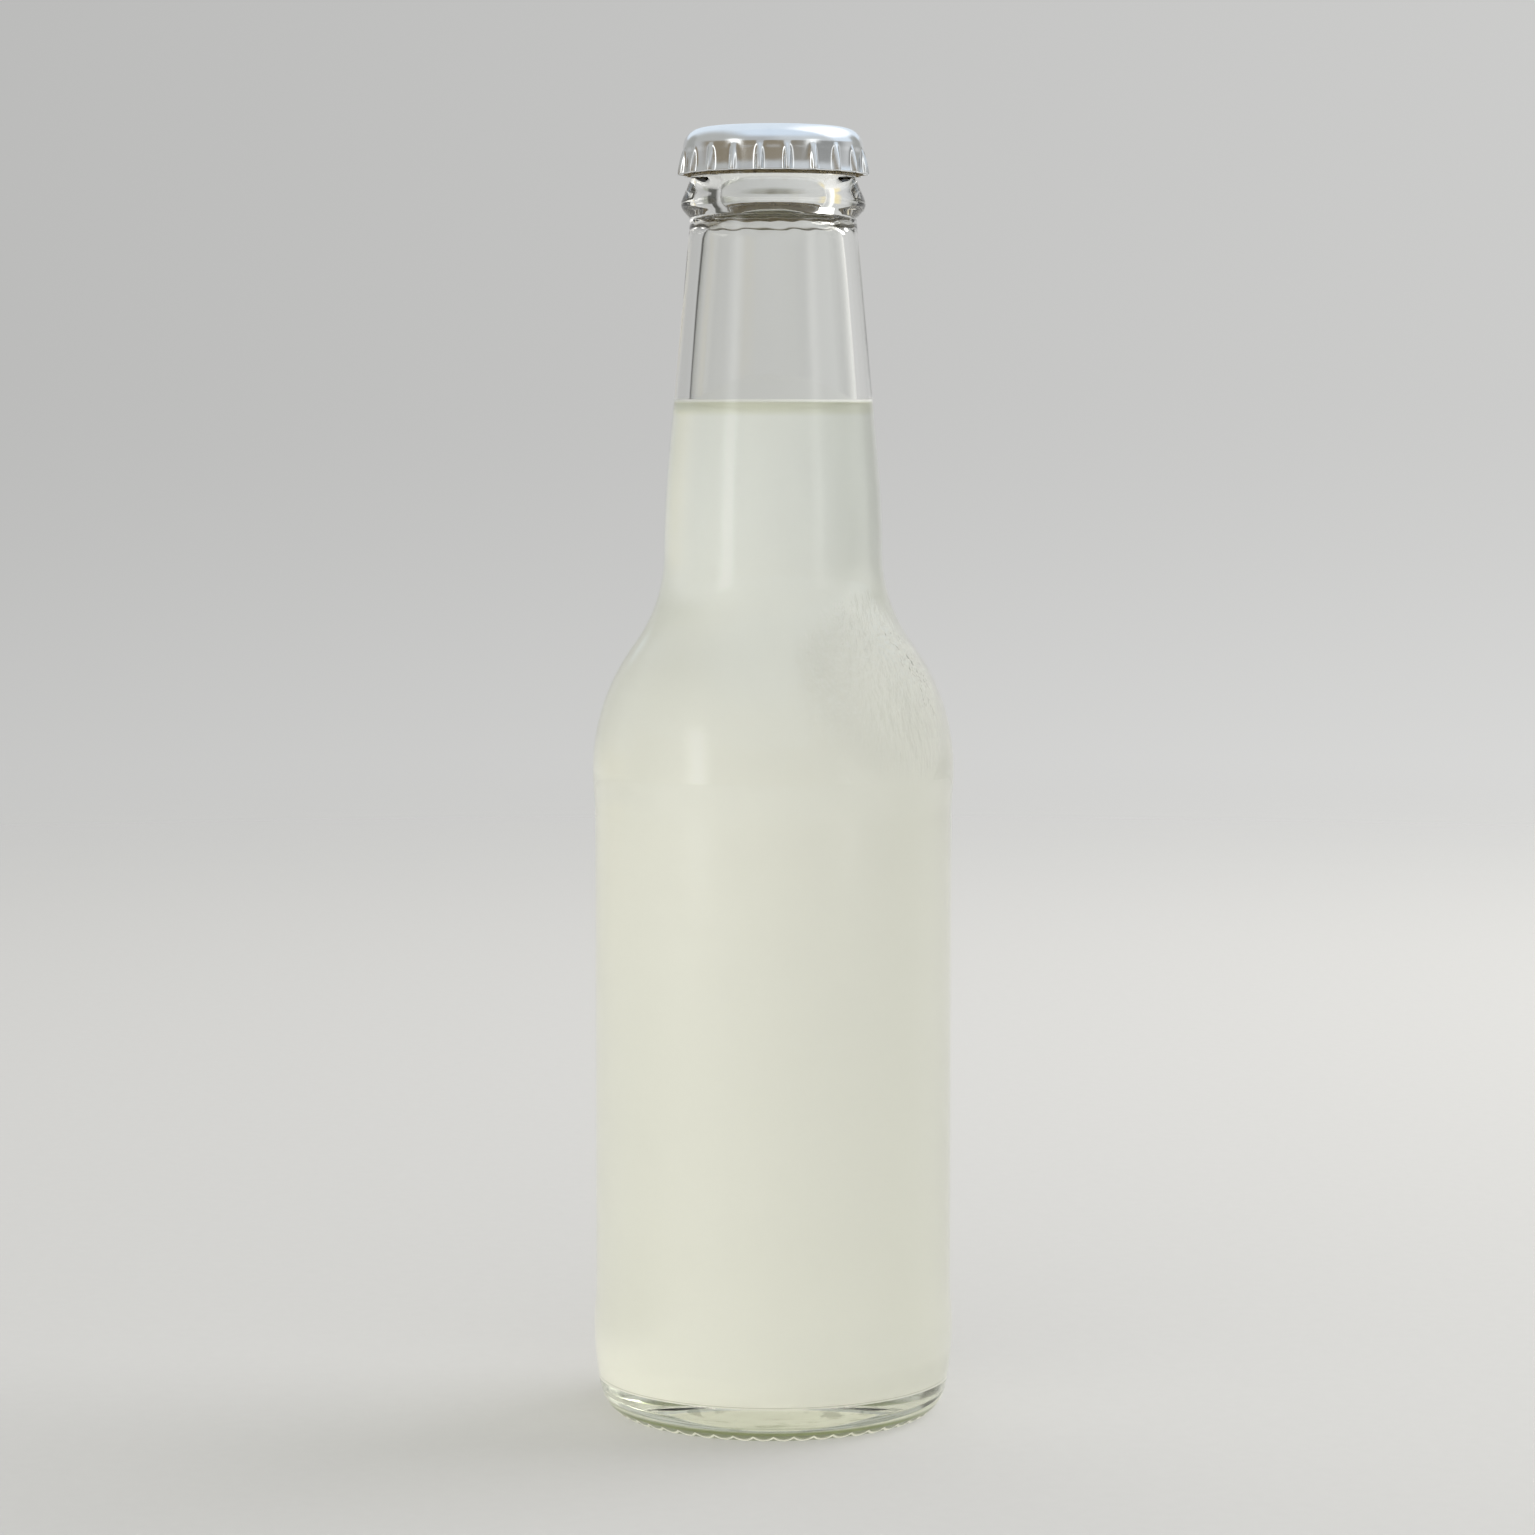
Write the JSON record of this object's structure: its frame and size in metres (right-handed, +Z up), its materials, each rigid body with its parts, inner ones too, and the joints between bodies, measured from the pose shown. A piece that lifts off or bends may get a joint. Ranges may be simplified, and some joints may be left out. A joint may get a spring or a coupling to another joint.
{
  "type": "soda bottle",
  "caption": "Small clear glass soda bottle with a long tapered neck, filled with a pale drink and closed by a crimped crown cap; it stands on a flat ring.",
  "frame": {"origin": "centre of the base, on the surface that the bottle stands on", "axes": "+Z up along the bottle's axis, through the mouth and the cap; -Y faces the viewer of the front view, with a flute bottom of the cap facing that way"},
  "size_m": [0.056, 0.056, 0.1988],
  "materials": {
    "bottle_glass": "gloss",
    "drink": "gloss",
    "cap_steel": "polished",
    "cap_liner": "matte"
  },
  "bodies": {
    "root": {"bottle_glass": "bottle_glass", "drink": "drink", "crown_cap": "cap_steel", "cap_liner": "cap_liner"}
  },
  "joints": []
}
